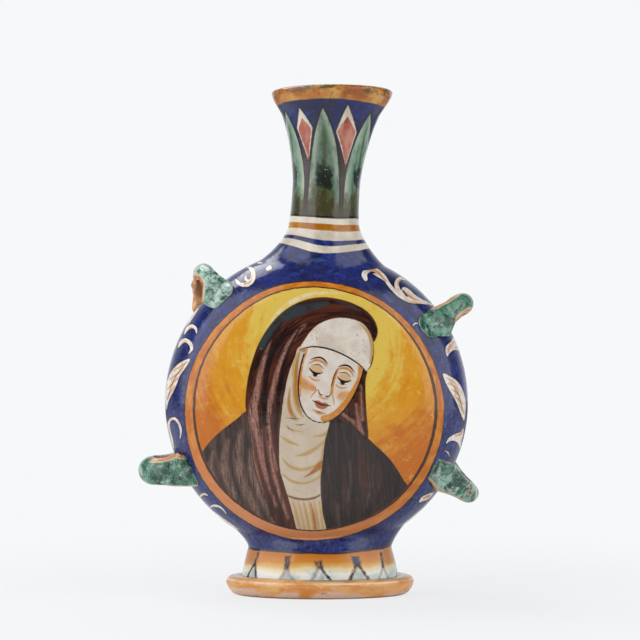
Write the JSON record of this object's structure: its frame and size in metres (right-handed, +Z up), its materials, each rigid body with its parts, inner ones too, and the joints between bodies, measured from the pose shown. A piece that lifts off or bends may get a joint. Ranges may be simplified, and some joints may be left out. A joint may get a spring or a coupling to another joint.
{
  "type": "pilgrim flask",
  "caption": "Flattened round glazed earthenware flask with a flared neck, an oval stepped foot and strap lugs for a carrying cord.",
  "frame": {"origin": "middle of the foot's base, on the surface that the flask stands on", "axes": "+Z up through the neck, -Y towards the side with the medallion, +X to the right as that side is seen"},
  "size_m": [0.1966, 0.08, 0.291],
  "materials": {
    "painted_body_glaze": "glossy tin glaze, cobalt blue ground with white scrolls and an ochre medallion",
    "painted_neck_glaze": "glossy tin glaze, green leaves on blue under an ochre lip",
    "painted_foot_glaze": "glossy tin glaze, ochre running to pale green petals",
    "ochre_glaze": "worn glossy ochre glaze",
    "green_glaze": "glossy mottled copper green glaze with ochre edges"
  },
  "bodies": {
    "root": {"front_shell": "painted_body_glaze", "back_shell": "painted_body_glaze", "neck": "painted_neck_glaze", "foot_collar": "painted_foot_glaze", "foot_plate": "ochre_glaze", "upper_left_lug": "green_glaze", "upper_right_lug": "green_glaze", "lower_left_lug": "green_glaze", "lower_right_lug": "green_glaze"}
  },
  "joints": []
}
